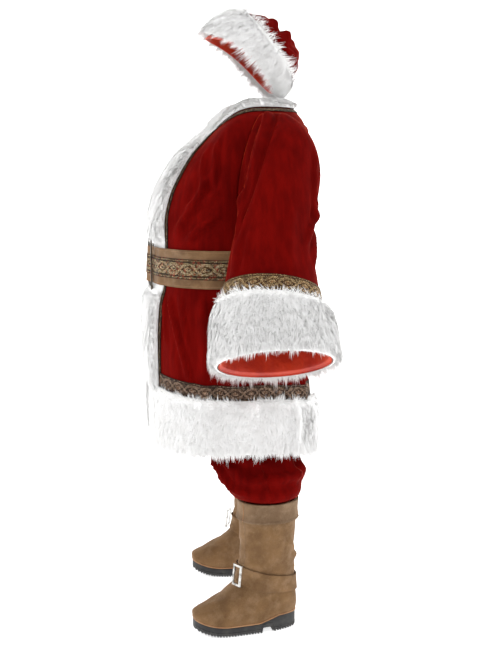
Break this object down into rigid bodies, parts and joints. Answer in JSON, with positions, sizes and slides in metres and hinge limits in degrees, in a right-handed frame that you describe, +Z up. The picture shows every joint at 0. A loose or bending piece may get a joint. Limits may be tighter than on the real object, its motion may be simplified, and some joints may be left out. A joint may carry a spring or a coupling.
{
  "type": "santa suit worn on an open figure",
  "caption": "Worn Santa suit: fur-trimmed red velvet jacket with wide belt, trousers, fur-brimmed hat and buckled leather boots, hollow and open at neck, cuffs, hem and boots.",
  "frame": {"origin": "middle of the neck opening on the shoulder line, 1.478 m above the soles, where the wearer carries the suit", "axes": "+Z up, -Y to the front of the suit, +X to the wearer's left"},
  "size_m": [1.1285, 0.534, 1.8201],
  "materials": {
    "velvet": "deep red velvet with a short directional pile",
    "satin": "orange-red lining satin",
    "fur": "long white faux fur",
    "brocade": "woven metallic braid, bronze and old gold on dark brown",
    "belt_brocade": "woven gold braid with small beads",
    "belt_leather": "matte brown leather",
    "boot_leather": "brushed brown suede leather",
    "bronze": "dark aged bronze",
    "silver": "polished nickel",
    "rubber": "matte black lugged rubber"
  },
  "bodies": {
    "root": {"belt_braid": "belt_brocade", "belt_buckle": "bronze", "belt_strap": "belt_leather", "boot_buckle_left": "silver", "boot_buckle_right": "silver", "boot_cuff_left": "boot_leather", "boot_cuff_right": "boot_leather", "boot_foot_left": "boot_leather", "boot_foot_right": "boot_leather", "boot_shaft_left": "boot_leather", "boot_shaft_right": "boot_leather", "boot_sole_left": "rubber", "boot_sole_right": "rubber", "boot_strap_left": "boot_leather", "boot_strap_right": "boot_leather", "collar_fur": "fur", "cuff_fur_left": "fur", "cuff_fur_right": "fur", "cuff_lining_left": "satin", "cuff_lining_right": "satin", "front_braid_left": "brocade", "front_braid_right": "brocade", "front_fur_left": "fur", "front_fur_right": "fur", "hat_brim_fur": "fur", "hat_crown": "velvet", "hat_lining": "satin", "hat_tail": "velvet", "hem_braid": "brocade", "hem_fur": "fur", "jacket_back": "velvet", "jacket_front_left": "velvet", "jacket_front_right": "velvet", "neck_braid": "brocade", "sleeve_braid_left": "brocade", "sleeve_braid_right": "brocade", "sleeve_left": "velvet", "sleeve_right": "velvet", "trouser_back_left": "velvet", "trouser_back_right": "velvet", "trouser_front_left": "velvet", "trouser_front_right": "velvet", "trouser_waistband": "velvet"}
  },
  "joints": []
}
